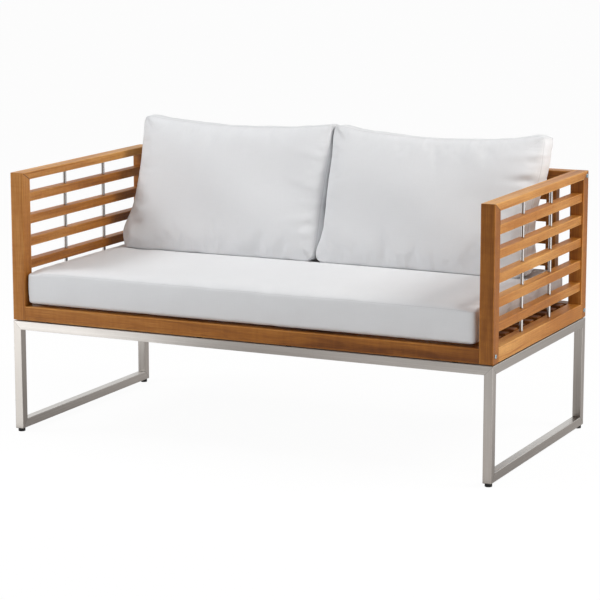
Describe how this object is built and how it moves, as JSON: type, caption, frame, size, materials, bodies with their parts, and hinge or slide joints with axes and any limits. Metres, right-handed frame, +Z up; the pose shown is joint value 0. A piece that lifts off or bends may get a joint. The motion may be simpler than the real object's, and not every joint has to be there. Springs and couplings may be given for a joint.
{
  "type": "patio loveseat",
  "caption": "Slatted hardwood loveseat on a welded square-tube steel base, with steel rods through its arms and back and loose seat and back cushions.",
  "frame": {"origin": "on the floor, under the middle of the frame's footprint", "axes": "+X to the viewer's right as one faces the front, along the seat; +Y from the front to the back; +Z up"},
  "size_m": [1.4548, 0.74, 0.8507],
  "materials": {
    "hardwood": "oiled hardwood, golden to orange-brown, with visible grain",
    "base_steel": "brushed stainless tube",
    "rod_steel": "drawn stainless rod, fairly bright",
    "bolt_steel": "polished round bolt head",
    "fixing_steel": "plain zinc-plated fixing",
    "spacer_rubber": "matte black spacer",
    "foot_plastic": "matte black pad",
    "cushion_fabric": "off-white plain-weave outdoor fabric",
    "cushion_filling": "foam and fibre filling"
  },
  "bodies": {
    "frame": {"arm_bottom_rail_left": "hardwood", "arm_bottom_rail_right": "hardwood", "arm_rods": "rod_steel", "arm_slat_left_1": "hardwood", "arm_slat_left_2": "hardwood", "arm_slat_left_3": "hardwood", "arm_slat_left_4": "hardwood", "arm_slat_left_5": "hardwood", "arm_slat_right_1": "hardwood", "arm_slat_right_2": "hardwood", "arm_slat_right_3": "hardwood", "arm_slat_right_4": "hardwood", "arm_slat_right_5": "hardwood", "arm_top_rail_left": "hardwood", "arm_top_rail_right": "hardwood", "back_bottom_rail": "hardwood", "back_rods": "rod_steel", "back_slat_1": "hardwood", "back_slat_2": "hardwood", "back_slat_3": "hardwood", "back_slat_4": "hardwood", "back_slat_5": "hardwood", "back_stile_left": "hardwood", "back_stile_right": "hardwood", "back_top_rail": "hardwood", "barrel_nuts": "fixing_steel", "base_back_rail": "base_steel", "base_front_rail": "base_steel", "base_side_rail_left": "base_steel", "base_side_rail_right": "base_steel", "connector_bolts": "bolt_steel", "deck_screws": "fixing_steel", "foot_nuts": "fixing_steel", "frame_screws": "fixing_steel", "frame_spacers": "spacer_rubber", "front_rail": "hardwood", "leg_back_left": "base_steel", "leg_back_right": "base_steel", "leg_front_left": "base_steel", "leg_front_right": "base_steel", "mitre_dowels": "hardwood", "post_back_left": "hardwood", "post_back_right": "hardwood", "post_front_left": "hardwood", "post_front_right": "hardwood", "runner_left": "base_steel", "runner_right": "base_steel", "seat_bearers": "hardwood", "seat_slats": "hardwood"},
    "seat_cushion": {"seat_cushion_cover": "cushion_fabric", "seat_cushion_foam": "cushion_filling"},
    "back_cushion_left": {"back_cushion_left_cover": "cushion_fabric", "back_cushion_left_filling": "cushion_filling"},
    "back_cushion_right": {"back_cushion_right_cover": "cushion_fabric", "back_cushion_right_filling": "cushion_filling"},
    "foot_front_left": {"foot_front_left": "foot_plastic"},
    "foot_front_right": {"foot_front_right": "foot_plastic"},
    "foot_back_left": {"foot_back_left": "foot_plastic"},
    "foot_back_right": {"foot_back_right": "foot_plastic"}
  },
  "joints": [
    {"name": "seat_cushion_lift", "type": "slide", "parent": "frame", "child": "seat_cushion", "axis": [0, 0, 1], "range_m": [0, 0.38]},
    {"name": "back_cushion_left_lift", "type": "slide", "parent": "seat_cushion", "child": "back_cushion_left", "axis": [0, 0, 1], "range_m": [0, 0.28]},
    {"name": "back_cushion_right_lift", "type": "slide", "parent": "seat_cushion", "child": "back_cushion_right", "axis": [0, 0, 1], "range_m": [0, 0.28]},
    {"name": "foot_front_left_adjust", "type": "slide", "parent": "frame", "child": "foot_front_left", "axis": [0, 0, -1], "range_m": [0, 0.006]},
    {"name": "foot_front_right_adjust", "type": "slide", "parent": "frame", "child": "foot_front_right", "axis": [0, 0, -1], "range_m": [0, 0.006]},
    {"name": "foot_back_left_adjust", "type": "slide", "parent": "frame", "child": "foot_back_left", "axis": [0, 0, -1], "range_m": [0, 0.006]},
    {"name": "foot_back_right_adjust", "type": "slide", "parent": "frame", "child": "foot_back_right", "axis": [0, 0, -1], "range_m": [0, 0.006]}
  ]
}
